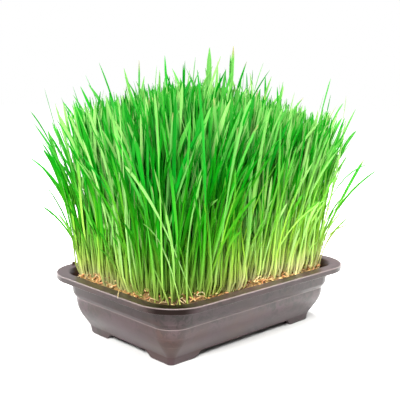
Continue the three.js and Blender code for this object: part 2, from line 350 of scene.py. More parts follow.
# Recycled polypropylene, moulded satin: a dull sheen, cloudy brown and mauve patches where the
# regrind mixed unevenly, dried splashes of mud, thin scuffs from stacking, a pale painted highlight
# along the lip's outer edge and the step, and painted shade under the lip and at the near corner.
PLASTIC = "3b292c"
PLASTIC_MAUVE = "443137"
PLASTIC_BROWN = "3c2722"
PLASTIC_SCUFF_AND_HIGHLIGHT = "a89896"
PLASTIC_SHADE = "140a08"
MUD = "1c110d"
DUST = "cfc6bd"
# Where mud splashes gather, and where a dark shade is painted on the lip at the near corner, in mm.
MUD_AND_SHADE_SPOT = (-118, -80.5, 57)
NECK_TOP = 60

plastic, tree, place = new_material("moulded_satin_plastic")
clouds = add_node(tree, "TexNoise", {"Vector": place, "Scale": 28, "Detail": 4, "Roughness": 0.6})
tone = add_node(tree, "ValToRGB", {"Fac": clouds},
                stops=[(0.32, PLASTIC_BROWN), (0.68, PLASTIC_MAUVE), (0.5, PLASTIC)])
splashes = add_node(tree, "TexNoise", {"Vector": place, "Scale": 150, "Detail": 6,
                                       "Roughness": 0.7, "Distortion": 1.0})
splash = add_node(tree, "MapRange", {"Value": splashes, "From Min": 0.46, "From Max": 0.56,
                                     "To Max": 0.9})
where = add_node(tree, "TexNoise", {"Vector": place, "Scale": 16, "Detail": 2})
where = add_node(tree, "MapRange", {"Value": where, "From Min": 0.45, "From Max": 0.62})
off_mark = add_node(tree, "VectorMath", {0: place, 1: Vector(MUD_AND_SHADE_SPOT) * MM}, operation="DISTANCE")
near = add_node(tree, "MapRange", {"Value": off_mark, "From Min": 25 * MM, "From Max": 60 * MM,
                                   "To Min": 0.8, "To Max": 0})
where = add_node(tree, "Math", {0: where, 1: near}, operation="MAXIMUM")
splash = add_node(tree, "Math", {0: splash, 1: where}, operation="MULTIPLY")
muddy = add_node(tree, "Mix", {0: splash, 6: tone, 7: linear(MUD)}, data_type="RGBA")
stretched = add_node(tree, "VectorMath", {0: place, 1: (18, 18, 700)}, operation="MULTIPLY")
scuffs = add_node(tree, "TexNoise", {"Vector": stretched, "Scale": 1, "Detail": 4,
                                     "Roughness": 0.7})
scuff = add_node(tree, "MapRange", {"Value": scuffs, "From Min": 0.6, "From Max": 0.75,
                                    "To Max": 0.1})
scuffed = add_node(tree, "Mix", {0: scuff, 6: muddy, 7: linear(PLASTIC_SCUFF_AND_HIGHLIGHT)}, data_type="RGBA")
# Painted highlight: the pale lines along the lip's outer edge and the step.
edge_highlight = add_node(tree, "Attribute", attribute_name="painted_highlight", attribute_type="GEOMETRY").outputs["Fac"]
highlight_share = add_node(tree, "Math", {0: edge_highlight, 1: 0.3}, operation="MULTIPLY")
highlighted = add_node(tree, "Mix", {0: highlight_share, 6: scuffed, 7: linear(PLASTIC_SCUFF_AND_HIGHLIGHT)}, data_type="RGBA")
specks = add_node(tree, "TexVoronoi", {"Vector": place, "Scale": 60, "Randomness": 1})
speck = add_node(tree, "MapRange", {"Value": specks, "From Min": 0.015, "From Max": 0.035,
                                    "To Min": 0.7, "To Max": 0})
dusty = add_node(tree, "Mix", {0: speck, 6: highlighted, 7: linear(DUST)}, data_type="RGBA")

# Painted shade: a dark patch on the lip's front face at the near corner, and a lighter painted
# shade on the wall from the step up to just below the lip's top, over the neck and the lip's face.
corner_shade = add_node(tree, "MapRange", {"Value": off_mark, "From Min": 12 * MM, "From Max": 34 * MM,
                                   "To Min": 1, "To Max": 0})
height = add_node(tree, "SeparateXYZ", {"Vector": place}).outputs["Z"]
on_lip = add_node(tree, "MapRange", {"Value": height, "From Min": 54 * MM, "From Max": 56 * MM})
corner_shade = add_node(tree, "Math", {0: corner_shade, 1: on_lip}, operation="MULTIPLY")
up_neck = add_node(tree, "Math", {0: height, 1: 1 / (NECK_TOP * MM)}, operation="MULTIPLY")
under_lip_shade = add_node(tree, "ValToRGB", {"Fac": up_neck}, stops=[
    (0.61, "000000"), (1.0, "000000"), (0.66, "989898"), (0.89, "a8a8a8"), (0.92, "b4b4b4"),
    (0.985, "b4b4b4"),
])
painted_shade = add_node(tree, "Math", {0: corner_shade, 1: under_lip_shade}, operation="MAXIMUM")
off_highlight = add_node(tree, "Math", {0: 1, 1: edge_highlight}, operation="SUBTRACT")
painted_shade = add_node(tree, "Math", {0: painted_shade, 1: off_highlight}, operation="MULTIPLY")
shade_darkened = add_node(tree, "Mix", {0: painted_shade, 6: dusty, 7: linear(PLASTIC_SHADE)}, data_type="RGBA")
gloss = add_node(tree, "MapRange", {"Value": painted_shade, "To Min": 0.45, "To Max": 0.06})
sheen = add_node(tree, "MapRange", {"Value": clouds, "To Min": 0.26, "To Max": 0.38})
grain = add_node(tree, "TexNoise", {"Vector": place, "Scale": 900, "Detail": 3})
bump = add_node(tree, "Bump", {"Height": grain, "Strength": 0.12, "Distance": 0.1 * MM})
surface = add_node(tree, "BsdfPrincipled", {
    "Base Color": shade_darkened, "Roughness": sheen, "IOR": 1.49, "Specular IOR Level": gloss,
    "Normal": bump,
})
add_node(tree, "OutputMaterial", {"Surface": surface})

# The lip's outer edge and the step carry a thin pale line of painted highlight.
bm = joined(wall, solids)
highlight_layer = bm.verts.layers.float.new("painted_highlight")
for vert in bm.verts:
    x, y, z = vert.co / MM
    inset = inside(x, y, HALF_LENGTH, HALF_WIDTH, LIP_RADIUS)
    on_lip_edge = inset < 0.5 and z > TRAY_HEIGHT - 0.5
    on_step = abs(inset - STEP_INSET) < 0.3 and abs(z - STEP_Z) < 0.4
    vert[highlight_layer] = float(on_lip_edge or on_step)
tray = make_piece("tray_shell", bm, plastic)
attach(tray, "root")
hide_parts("tray")


# ---- Growing mix ----
# A block of moist, dark, crumbly mix that fills the tray to below the lip. Only its border shows,
# between the matted roots and the tray's wall, and one crumb has dropped on to the lip.

MIX_TOP = 50
MIX_CELLS = 150
MIX_GAP = 0.3
MIX_BOTTOM = FLOOR_TOP + MIX_GAP
MIX_TOP_INSET = 16.6 + MIX_GAP
CRUMB_RADIUS = 1.7
CRUMB_AT = (-92, 87.5, TRAY_HEIGHT + 1.1)


def into_rounded_box(x, y, half_x, half_y, radius):
    """A point of the square from -1 to 1 moved into a rectangle with rounded corners."""
    px, py = x * half_x, y * half_y
    over_x, over_y = abs(px) - (half_x - radius), abs(py) - (half_y - radius)
    if over_x > 0 and over_y > 0:
        reach = max(over_x, over_y) / math.hypot(over_x, over_y)
        px = math.copysign(half_x - radius + over_x * reach, px)
        py = math.copysign(half_y - radius + over_y * reach, py)
    return px, py


bm = bmesh.new()
bmesh.ops.create_grid(bm, x_segments=MIX_CELLS, y_segments=MIX_CELLS * 2 // 3, size=1)
side = [(inset + MIX_GAP, z) for inset, z in inner_wall if MIX_BOTTOM < z < MIX_TOP]
for vert in bm.verts:
    x, y = into_rounded_box(vert.co.x, vert.co.y, HALF_LENGTH - MIX_TOP_INSET,
                            HALF_WIDTH - MIX_TOP_INSET, LIP_RADIUS - MIX_TOP_INSET)
    edge = max(abs(vert.co.x), abs(vert.co.y))
    lumps = noise.fractal(Vector((x, y, 3)) / 4, 0.6, 2, 4) * 1.6 if edge < 0.99 else 0
    vert.co = (x, y, MIX_TOP - 1 + lumps)
rim = [edge for edge in bm.edges if edge.is_boundary]
for inset, z in side + [(side[-1][0] + 0.8, MIX_BOTTOM)]:
    grown = bmesh.ops.extrude_edge_only(bm, edges=rim)["geom"]
    rim = only(bmesh.types.BMEdge, grown)
    for vert in only(bmesh.types.BMVert, grown):
        corner_x = HALF_LENGTH - LIP_RADIUS
        corner_y = HALF_WIDTH - LIP_RADIUS
        held_x = max(-corner_x, min(corner_x, vert.co.x))
        held_y = max(-corner_y, min(corner_y, vert.co.y))
        out = Vector((vert.co.x - held_x, vert.co.y - held_y))
        out = out.normalized() * (LIP_RADIUS - inset)
        vert.co = (held_x + out.x, held_y + out.y, z)
bmesh.ops.contextual_create(bm, geom=rim)
crumb = bmesh.ops.create_icosphere(bm, subdivisions=3, radius=CRUMB_RADIUS)["verts"]
for vert in crumb:
    vert.co *= 1 + 0.35 * noise.noise(vert.co * 0.9)
bmesh.ops.scale(bm, vec=(1.3, 1, 0.7), verts=crumb)
bmesh.ops.translate(bm, vec=CRUMB_AT, verts=crumb)
bmesh.ops.recalc_face_normals(bm, faces=bm.faces)
to_metres(bm)

# Moist coir and compost: near black where it is wet, brown where the crumbs stand up and dry.
MIX_WET = "2a1c12"
MIX_CRUMB = "6d4f33"

soil, tree, place = new_material("moist_compost")
crumbs = add_node(tree, "TexNoise", {"Vector": place, "Scale": 420, "Detail": 6, "Roughness": 0.7})
tone = add_node(tree, "ValToRGB", {"Fac": crumbs}, stops=[(0.38, MIX_WET), (0.72, MIX_CRUMB)])
bump = add_node(tree, "Bump", {"Height": crumbs, "Strength": 0.9, "Distance": 1.2 * MM})
surface = add_node(tree, "BsdfPrincipled", {"Base Color": tone, "Roughness": 0.85, "Normal": bump})
add_node(tree, "OutputMaterial", {"Surface": surface})

mix = make_piece("mix_block", bm, soil)
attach(mix, "root")
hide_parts("growing_mix")


# ---- Husk mat ----
# The sprouted grain lies so thick that its husks and roots knit into a springy straw-coloured mat
# on top of the mix. Its border is rounded off before it reaches the tray's corners.

MAT_INSET = 17
MAT_HALF_X, MAT_HALF_Y = HALF_LENGTH - MAT_INSET, HALF_WIDTH - MAT_INSET
MAT_RADIUS = 27
MAT_TOP = 57
MAT_CELLS = 180
FRONT_HEAP = (2, -77)


def smooth_step(low, high, value):
    """Nought up to the low end, one from the high end on, and eased in between."""
    t = min(1, max(0, (value - low) / (high - low)))
    return t * t * (3 - 2 * t)


def on_mat(x, y):
    """How far a point lies in from the mat's border."""
    return inside(x, y, MAT_HALF_X, MAT_HALF_Y, MAT_RADIUS)


def off_near_corner(x, y):
    """How far a point lies from the mat's near corner, where there are few husks."""
    return math.hypot(x + MAT_HALF_X, y + MAT_HALF_Y)


def off_front_heap(x, y):
    """How far a point lies from the pile of husks halfway along the front."""
    return math.hypot(x - FRONT_HEAP[0], y - FRONT_HEAP[1])


def heap(x, y):
    """How high the husks are heaped: most on the left and in one pile, none at the near corner."""
    high = 4 + 2.5 * smooth_step(0.5, 0.9, -x / MAT_HALF_X)
    high += 3.5 * smooth_step(26, 8, off_front_heap(x, y))
    high *= smooth_step(12, 45, off_near_corner(x, y))
    uneven = 1 + 0.8 * noise.noise(Vector((x, y, 5)) / 12)
    return high * smooth_step(1, 10, on_mat(x, y)) * uneven


bm = bmesh.new()
bmesh.ops.create_grid(bm, x_segments=MAT_CELLS, y_segments=MAT_CELLS * 2 // 3, size=1)
for vert in bm.verts:
    x, y = into_rounded_box(vert.co.x, vert.co.y, MAT_HALF_X, MAT_HALF_Y, MAT_RADIUS)
    edge = max(abs(vert.co.x), abs(vert.co.y))
    fall = 5 * max(0, (edge - 0.93) / 0.07) ** 2
    lumps = noise.fractal(Vector((x, y, 9)) / 3.2, 0.5, 2, 4) * 1.3
    vert.co = (x, y, MAT_TOP - 1.6 + heap(x, y) + lumps - fall)
rim = [edge for edge in bm.edges if edge.is_boundary]
skirt = bmesh.ops.extrude_edge_only(bm, edges=rim)["geom"]
for vert in only(bmesh.types.BMVert, skirt):
    vert.co.z = MIX_TOP - 1.5
bmesh.ops.contextual_create(bm, geom=only(bmesh.types.BMEdge, skirt))
bmesh.ops.recalc_face_normals(bm, faces=bm.faces)
to_metres(bm)

# Wet husk and root felt: straw and honey over brown hollows, dull, with a fibrous nap.
FELT_HOLLOW = "3a2710"
FELT_STRAW = "85642e"
FELT_PALE = "bf9f62"
FELT_SHADE = "38260f"

felt, tree, place = new_material("husk_and_root_felt")
fibres = add_node(tree, "TexNoise", {"Vector": place, "Scale": 350, "Detail": 5,
                                     "Roughness": 0.65, "Distortion": 2.0})
tone = add_node(tree, "ValToRGB", {"Fac": fibres},
                stops=[(0.33, FELT_HOLLOW), (0.7, FELT_PALE), (0.52, FELT_STRAW)])
# Painted shade: the felt darkens towards the near corner, which lies in shadow.
corner_at = Vector((-MAT_HALF_X, -MAT_HALF_Y, MAT_TOP)) * MM
off_corner = add_node(tree, "VectorMath", {0: place, 1: corner_at}, operation="DISTANCE")
painted_shade = add_node(tree, "MapRange", {"Value": off_corner, "From Min": 20 * MM, "From Max": 50 * MM,
                                  "To Min": 0.8, "To Max": 0})
tone = add_node(tree, "Mix", {0: painted_shade, 6: tone, 7: linear(FELT_SHADE)}, data_type="RGBA")
bump = add_node(tree, "Bump", {"Height": fibres, "Strength": 0.8, "Distance": 1.0 * MM})
surface = add_node(tree, "BsdfPrincipled", {"Base Color": tone, "Roughness": 0.75, "Normal": bump})
add_node(tree, "OutputMaterial", {"Surface": surface})

mat = make_piece("husk_mat", bm, felt)
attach(mat, "root")


# ---- Husks ----
# Spent grain husks and whole kernels that lie loose over the mat. They show in the border that the
# stems leave bare along the tray's lip, and hardly any lie at the near corner.

KERNEL_LENGTH, KERNEL_WIDTH, KERNEL_HEIGHT = 6.4, 1.8, 1.4
SCATTERED = 2200
HOLLOW_SHARE = 0.55

bm = bmesh.new()
bmesh.ops.create_uvsphere(bm, u_segments=6, v_segments=4, radius=1)
kernel = bpy.data.meshes.new("kernel")
bm.to_mesh(kernel)
bm.free()
kernel_points = [v.co.copy() for v in kernel.vertices]

dice = random.Random(11)
bm = bmesh.new()
tint_layer = bm.verts.layers.float_color.new("tint")
for _ in range(SCATTERED):
    x = dice.uniform(-MAT_HALF_X, MAT_HALF_X)
    y = dice.uniform(-MAT_HALF_Y, MAT_HALF_Y)
    margin = on_mat(x, y)
    if margin < 0 or (margin > 14 and dice.random() < 0.75):
        continue
    if dice.random() < 0.8 * smooth_step(42, 18, off_near_corner(x, y)):
        continue
    size = dice.uniform(0.75, 1.2)
    hollow = dice.random() < HOLLOW_SHARE
    lies = Euler((dice.gauss(0, 0.5), dice.gauss(0, 0.35), dice.uniform(0, math.tau)))
    lies = lies.to_matrix()
    z = MAT_TOP - 0.6 + heap(x, y) + dice.uniform(0, 1.6) - 3.5 * smooth_step(4, 0, margin)
    at = Vector((x, y, z))
    colour = dice.random()
    first = len(bm.verts)
    bm.from_mesh(kernel)
    bm.verts.ensure_lookup_table()
    for i, point in enumerate(kernel_points):
        up = abs(point.x) * (1.0 if point.x > 0 else 0.5) if hollow else point.x
        shape = Vector((point.z * KERNEL_LENGTH, point.y * KERNEL_WIDTH, up * KERNEL_HEIGHT)) / 2
        vert = bm.verts[first + i]
        vert.co = at + lies @ shape * size
        vert[tint_layer] = (colour, 0, 0, 1)
bmesh.ops.recalc_face_normals(bm, faces=bm.faces)
to_metres(bm)

# Damp wheat bran: papery straw and cream, some kernels toasted orange-brown, with fine wrinkles.
HUSK_BROWN = "85572a"
HUSK_ORANGE = "c47e4a"
HUSK_STRAW = "d0a464"
HUSK_CREAM = "d8c284"

bran, tree, place = new_material("damp_wheat_bran")
tint = add_node(tree, "Attribute", attribute_name="tint", attribute_type="GEOMETRY")
tint = add_node(tree, "SeparateColor", {"Color": tint})
tone = add_node(tree, "ValToRGB", {"Fac": tint}, stops=[
    (0.0, HUSK_BROWN), (1.0, HUSK_CREAM), (0.2, HUSK_ORANGE), (0.6, HUSK_STRAW),
])
wrinkles = add_node(tree, "TexNoise", {"Vector": place, "Scale": 900, "Detail": 3})
lines = add_node(tree, "MapRange", {"Value": wrinkles, "From Min": 0.3, "From Max": 0.7,
                                    "To Min": 0.6, "To Max": 1.1})
marked = add_node(tree, "Mix", {0: 1, 6: tone, 7: lines}, data_type="RGBA", blend_type="MULTIPLY")
bump = add_node(tree, "Bump", {"Height": wrinkles, "Strength": 0.5, "Distance": 0.3 * MM})
surface = add_node(tree, "BsdfPrincipled", {"Base Color": marked, "Roughness": 0.55,
                                            "Normal": bump})
add_node(tree, "OutputMaterial", {"Surface": surface})

husks = make_piece("grain_husks", bm, bran)
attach(husks, "root")


# ---- Rootlets ----
# Pale threads of root that wander over the husks, and one that hangs out over the tray's lip. Each
# is a bent stick with its own strip of the piece's map, as every blade of grass is further on.

RINGS = 13
ROOTLETS = 55
ROOT_WIDTH, LIP_ROOT_WIDTH = 0.55, 0.6
SET_DEEP = 2.5
STAYS_ROLLED = (2, 3)
NO_TINT = (0, 0, 0, 1)

# A blade or thread before it is bent: a four-sided stick, one unit long, cut into short lengths.
bm = bmesh.new()
bmesh.ops.create_cone(bm, cap_ends=True, segments=4, radius1=1, radius2=1, depth=1)
bmesh.ops.translate(bm, vec=(0, 0, 0.5), verts=bm.verts)
uprights = [edge for edge in bm.edges if abs(edge.verts[0].co.z - edge.verts[1].co.z) > 0.5]
bmesh.ops.subdivide_edges(bm, edges=uprights, cuts=RINGS - 2, use_grid_fill=True)
own_map = bm.loops.layers.uv.new("OFBake")
for face in bm.faces:
    for loop in face.loops:
        loop[own_map].uv = ((loop.vert.co.x + 1) / 2, loop.vert.co.z)
stick = bpy.data.meshes.new("blade_stick")
bm.to_mesh(stick)
bm.free()
stick_points = [v.co.copy() for v in stick.vertices]
ring_at = [0.5 * i / (RINGS - 1) + 0.25 * (1 - math.cos(math.pi * i / (RINGS - 1)))
           for i in range(RINGS)]


def new_tuft():
    """An empty bmesh that can take blades, with layers for their map and their tints."""
    bm = bmesh.new()
    bm.loops.layers.uv.new("OFBake")
    bm.verts.layers.float_color.new("tint")
    return bm


def add_blade(bm, number, strips, line, width, sheath, turn, twist, tint,
              opens=(0.28, 0.66), tip=0.1):
    """One blade along a line of ring centres: rolled up to a sheath at its foot, then opened out.

    It takes the numbered strip of the piece's map. Opens is where along it the blade opens out,
    and tip is the share of it that tapers.
    """
    first_vert, first_face = len(bm.verts), len(bm.faces)
    bm.from_mesh(stick)
    bm.verts.ensure_lookup_table()
    bm.faces.ensure_lookup_table()
    strip_map = bm.loops.layers.uv["OFBake"]
    tints = bm.verts.layers.float_color["tint"]
    frames = []
    for ring, t in enumerate(ring_at):
        way = (line[min(ring + 1, RINGS - 1)] - line[max(ring - 1, 0)]).normalized()
        across = Vector((math.cos(turn + twist * t), math.sin(turn + twist * t), 0))
        across = (across - way * across.dot(way)).normalized()
        opened = smooth_step(*opens, t)
        taper = 1 - 0.88 * max(0, 1 - (1 - t) / tip) ** 2
        half = (sheath + (width - sheath) * opened) / 2 * taper
        frames.append((line[ring], across, way.cross(across), opened, half))
    for i, point in enumerate(stick_points):
        centre, across, out, opened, half = frames[round(point.z * (RINGS - 1))]
        fold = point.y * (1 - opened) + (0.2 if point.y > 0 else 0.36) * opened
        if abs(point.x) > 0.5:
            fold = 0
        vert = bm.verts[first_vert + i]
        vert.co = centre + across * point.x * half - out * fold * half
        vert[tints] = tint
    for face in bm.faces[first_face:]:
        for loop in face.loops:
            u, v = loop[strip_map].uv
            loop[strip_map].uv = ((number + 0.1 + 0.8 * u) / strips, 0.01 + 0.98 * v)


def bent_line(foot, knee, tip):
    """Ring centres along one smooth bend through three points."""
    foot, knee, tip = Vector((*foot, MAT_TOP - SET_DEEP)), Vector(knee), Vector(tip)
    bend = knee * 2 - (foot + tip) / 2
    return [foot * (1 - t) ** 2 + bend * 2 * t * (1 - t) + tip * t * t for t in ring_at]


dice = random.Random(5)
bm = new_tuft()
number = 0
while number < ROOTLETS:
    x = dice.uniform(-MAT_HALF_X, MAT_HALF_X)
    y = dice.uniform(-MAT_HALF_Y, MAT_HALF_Y)
    if not 2 < on_mat(x, y) < 12:
        continue
    heading, bend = dice.uniform(0, math.tau), dice.gauss(0, 2.5)
    length, rise = dice.uniform(8, 22), dice.uniform(0.5, 4)
    at = Vector((x, y, MAT_TOP + heap(x, y) + 0.2))
    line = []
    for i in range(RINGS):
        t = i / (RINGS - 1)
        line.append(at + Vector((0, 0, rise * math.sin(math.pi * t))))
        way = heading + bend * t
        step = at + Vector((math.cos(way), math.sin(way), 0)) * length / RINGS
        at = step if on_mat(step.x, step.y) > 0.8 else at + (step - at) * 0.1
    add_blade(bm, number, ROOTLETS + 1, line, ROOT_WIDTH, ROOT_WIDTH, heading + math.pi / 2, 0,
              NO_TINT, opens=STAYS_ROLLED)
    number += 1
over_lip = bent_line((-106, -6), (-118.5, -17.5, 62), (-130, -30, 60.5))
add_blade(bm, number, ROOTLETS + 1, over_lip, LIP_ROOT_WIDTH, LIP_ROOT_WIDTH, 0, 0, NO_TINT,
          opens=STAYS_ROLLED)
to_metres(bm)

# Wheat root: a smooth, dull cream thread, stained tan in spots by the damp husks.
ROOT_PALE = "dccb9a"
ROOT_TAN = "c6a66c"

rootlet, tree, place = new_material("wheat_rootlet")
spots = add_node(tree, "TexNoise", {"Vector": place, "Scale": 250, "Detail": 3})
tone = add_node(tree, "ValToRGB", {"Fac": spots}, stops=[(0.35, ROOT_TAN), (0.6, ROOT_PALE)])
surface = add_node(tree, "BsdfPrincipled", {"Base Color": tone, "Roughness": 0.5})
add_node(tree, "OutputMaterial", {"Surface": surface})

roots = make_piece("rootlets", bm, rootlet)
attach(roots, "root")


# ---- Grass ----
# Wheat seedlings about three weeks old. Each has a pale, nearly round sheath at its foot that opens
# into a folded leaf blade drawn out to a point. They stand upright and fan out at the edges.

COLUMNS, ROWS = 8, 6
PITCH_X, PITCH_Y = 2 * MAT_HALF_X / COLUMNS, 2 * MAT_HALF_Y / ROWS
PER_SIDE = 10
LATE_PER_PATCH = 110
MAP_STRIPS = 192
LENGTH, LENGTH_SPREAD, MOST_EXTRA = 178, 7, 8
LATE_SHORTEST, LATE_LONGEST = 40, 150
WIDTH, WIDTH_INSIDE, WIDTH_SPREAD = 2.3, 1.0, 0.5
NARROWEST, WIDEST = 1.5, 4.2
SHEATH_WIDTH, SECOND_SHEATH_WIDTH, LATE_SHEATH_WIDTH = 1.8, 1.0, 1.5
BORDER, BORDER_VARIES = 6.5, 7
BARE_PLACE = (-93, -57)
BRIGHTNESSES = (0.64, 0.78, 0.92, 1.08)
# In degrees: how blades fan out at the edges and more so on the right, stray from that and more so
# in the border, droop and twist.
FAN, FAN_RIGHT = 8, 10
LOOSE, LOOSE_BORDER = 3.4, 2.6
DROOP, TWIST = 10, 70
LATE_FAN, LATE_LOOSE = 4, 7
# Shares of the seedlings that are younger and shorter, have a second leaf, are kinked by a knock,
# or have a scorched tip.
YOUNGER, TWO_LEAVED, KINKED, SCORCHED = 0.4, 0.55, 0.015, 0.04
# How far from the middle, and how high, the scattered blades may reach.
REACH_X, REACH_Y, REACH_Z = 144, 103.5, 272


def blade_line(foot, length, lean, droop, kick=(0, 0), sway=(0, 0), kink=None):
    """Ring centres up a midrib: kicked out at the foot, swaying and leaning more as it rises."""
    at = Vector(foot)
    line = [at.copy()]
    for low, high in zip(ring_at, ring_at[1:]):
        t = (low + high) / 2
        early = max(0, 1 - t / 0.14)
        slope = [math.tan(lean[k] * (0.4 + 0.9 * t) + droop[k] * t * t) + kick[k] * early
                 + sway[k] * math.cos(4 * t) for k in (0, 1)]
        way = Vector((*slope, 1)).normalized()
        if kink and t > kink[0]:
            way = way.lerp(kink[1], 0.55).normalized()
        at = at + way * length * (high - low)
        line.append(at.copy())
    over = 1
    for k, reach in enumerate((REACH_X, REACH_Y)):
        if at[k] * foot[k] > 0:
            over = max(over, abs(at[k] - foot[k]) / max(1, reach - abs(foot[k])))
    for point in line:
        for k in (0, 1):
            point[k] = foot[k] + (point[k] - foot[k]) / over
        point.z = min(point.z, REACH_Z)
    return line


# Young wheat leaf: waxy and a little translucent, cream at the foot, yellow-green as it leaves the
# sheath, then fresh green, with a pale midrib and margins and a few scorched tips.
LEAF_FOOT = "f0e4ae"
LEAF_SHEATH = "cedc70"
LEAF_LOW = "60ce1c"
LEAF_MID = "06bc14"
LEAF_TOP = "1ab828"
LEAF_TIP = "66c454"
LEAF_LIME = "bce44c"
LEAF_BLUE = "00a040"
LEAF_SHADE = "00bc14"
LEAF_DRY = "b8a878"
LEAF_RIB = "acde7c"
LEAF_PALE = "98c074"
LEAF_DEEP = "00ba10"
LEAF_THROUGH = 0.4
HOLLOW_AT = (-MAT_HALF_X + 30, -MAT_HALF_Y + 25, MAT_TOP)
TO_THE_RIGHT = (0.7, -0.7, 0)

# A blade's tint says how lime or blue its green is, how deep in the stand it grows, which sets its
# painted shade, whether its tip is scorched and, in its alpha, how light it is. Its own map runs
# across and along it.
leaf, tree, place = new_material("young_wheat_leaf")
height = add_node(tree, "SeparateXYZ", {"Vector": place}).outputs["Z"]
own = add_node(tree, "UVMap", uv_map="OFBake")
own = add_node(tree, "SeparateXYZ", {"Vector": own})
over_strips, along = own.outputs[0], own.outputs[1]
tint = add_node(tree, "Attribute", attribute_name="tint", attribute_type="GEOMETRY")
light = tint.outputs["Alpha"]
tint = add_node(tree, "SeparateColor", {"Color": tint})
hue, depth, scorch = tint.outputs[0], tint.outputs[1], tint.outputs[2]

# The green begins lower in the hollow at the near corner, as painted shade, and higher towards
# the right.
off_hollow = add_node(tree, "VectorMath", {0: place, 1: Vector(HOLLOW_AT) * MM},
                      operation="DISTANCE")
lower = add_node(tree, "MapRange", {"Value": off_hollow, "From Min": 20 * MM, "From Max": 60 * MM,
                                    "To Min": 0.1, "To Max": 0})
risen = add_node(tree, "MapRange", {"Value": height, "From Min": 55 * MM, "From Max": 235 * MM})
risen = add_node(tree, "Math", {0: risen, 1: lower}, operation="ADD")
right = add_node(tree, "VectorMath", {0: place, 1: TO_THE_RIGHT}, operation="DOT_PRODUCT")
higher = add_node(tree, "MapRange", {"Value": right, "From Min": 0, "From Max": 100 * MM,
                                     "To Min": 0, "To Max": 0.07})
risen = add_node(tree, "Math", {0: risen, 1: higher}, operation="SUBTRACT")
body = add_node(tree, "ValToRGB", {"Fac": risen}, stops=[
    (0.0, LEAF_FOOT), (1.0, LEAF_TOP), (0.1, LEAF_SHEATH), (0.3, LEAF_LOW), (0.58, LEAF_MID),
])

# Painted shade: blades inside the stand are a deeper green, apart from their feet and tips.
inner = add_node(tree, "MapRange", {"Value": along, "From Min": 0.5, "From Max": 0.95,
                                    "To Min": 1, "To Max": 0})
above = add_node(tree, "MapRange", {"Value": height, "From Min": 60 * MM, "From Max": 115 * MM,
                                    "To Min": 0.15, "To Max": 1})
inner = add_node(tree, "Math", {0: inner, 1: above}, operation="MULTIPLY")
inner = add_node(tree, "Math", {0: inner, 1: depth}, operation="MULTIPLY")
shaded = add_node(tree, "Mix", {0: inner, 6: body, 7: linear(LEAF_SHADE)}, data_type="RGBA")
outer = add_node(tree, "Math", {0: 1, 1: inner}, operation="SUBTRACT")

# Some blades are lime low down and some bluish higher up, and all are painted lighter towards the
# tip, where light from above falls on the tips.
lime = add_node(tree, "MapRange", {"Value": hue, "From Min": 0.3, "From Max": 0.65})
lime = add_node(tree, "Math", {0: lime, 1: outer}, operation="MULTIPLY")
low = add_node(tree, "MapRange", {"Value": height, "From Min": 110 * MM, "From Max": 190 * MM,
                                  "To Min": 1, "To Max": 0})
sunny = add_node(tree, "Math", {0: lime, 1: low}, operation="MULTIPLY")
over_foot = add_node(tree, "MapRange", {"Value": height, "From Min": 60 * MM, "From Max": 90 * MM,
                                        "To Min": 0.2, "To Max": 1})
lime = add_node(tree, "Math", {0: sunny, 1: over_foot}, operation="MULTIPLY")
limed = add_node(tree, "Mix", {0: lime, 6: shaded, 7: linear(LEAF_LIME)}, data_type="RGBA")
blue = add_node(tree, "MapRange", {"Value": hue, "From Min": 0.25, "From Max": 0, "To Max": 0.8})
blue = add_node(tree, "Math", {0: blue, 1: risen}, operation="MULTIPLY")
blued = add_node(tree, "Mix", {0: blue, 6: limed, 7: linear(LEAF_BLUE)}, data_type="RGBA")
tip_light = add_node(tree, "MapRange", {"Value": along, "From Min": 0.6, "To Max": 0.35})
tip_lit = add_node(tree, "Mix", {0: tip_light, 6: blued, 7: linear(LEAF_TIP)}, data_type="RGBA")

# The lightest blades show the pale bloom of their wax, and the same pale colour is their painted
# sheen.
bloom_and_sheen = add_node(tree, "MapRange", {"Value": light, "From Min": 0.78, "From Max": 1.12,
                                    "To Max": 0.9})
bared = add_node(tree, "MapRange", {"Value": outer, "To Min": 0.75})
bloom_and_sheen = add_node(tree, "Math", {0: bloom_and_sheen, 1: bared}, operation="MULTIPLY")
bloom_and_sheen = add_node(tree, "Math", {0: bloom_and_sheen, 1: over_foot}, operation="MULTIPLY")
paled = add_node(tree, "Mix", {0: bloom_and_sheen, 6: tip_lit, 7: linear(LEAF_PALE)}, data_type="RGBA")
tip = add_node(tree, "MapRange", {"Value": along, "From Min": 0.9, "From Max": 0.97})
tip = add_node(tree, "Math", {0: tip, 1: scorch}, operation="MULTIPLY")
dried = add_node(tree, "Mix", {0: tip, 6: paled, 7: linear(LEAF_DRY)}, data_type="RGBA")

# The midrib and the margins are pale lines, found by how far across its strip a point lies.
across = add_node(tree, "Math", {0: over_strips, 1: MAP_STRIPS}, operation="MULTIPLY")
across = add_node(tree, "Math", {0: across}, operation="FRACT")
across = add_node(tree, "Math", {0: across, 1: 0.5}, operation="SUBTRACT")
across = add_node(tree, "Math", {0: across}, operation="ABSOLUTE")
lines = add_node(tree, "ValToRGB", {"Fac": across}, stops=[
    (0.0, "ffffff"), (0.4, "ffffff"), (0.07, "000000"), (0.28, "000000"),
])
lit = add_node(tree, "MapRange", {"Value": light, "From Min": 0.55, "From Max": 1, "To Min": 0,
                                  "To Max": 0.5})
ribs = add_node(tree, "Math", {0: lines, 1: lit}, operation="MULTIPLY")
ribs = add_node(tree, "Math", {0: ribs, 1: over_foot}, operation="MULTIPLY")
ribbed = add_node(tree, "Mix", {0: ribs, 6: dried, 7: linear(LEAF_RIB)}, data_type="RGBA")

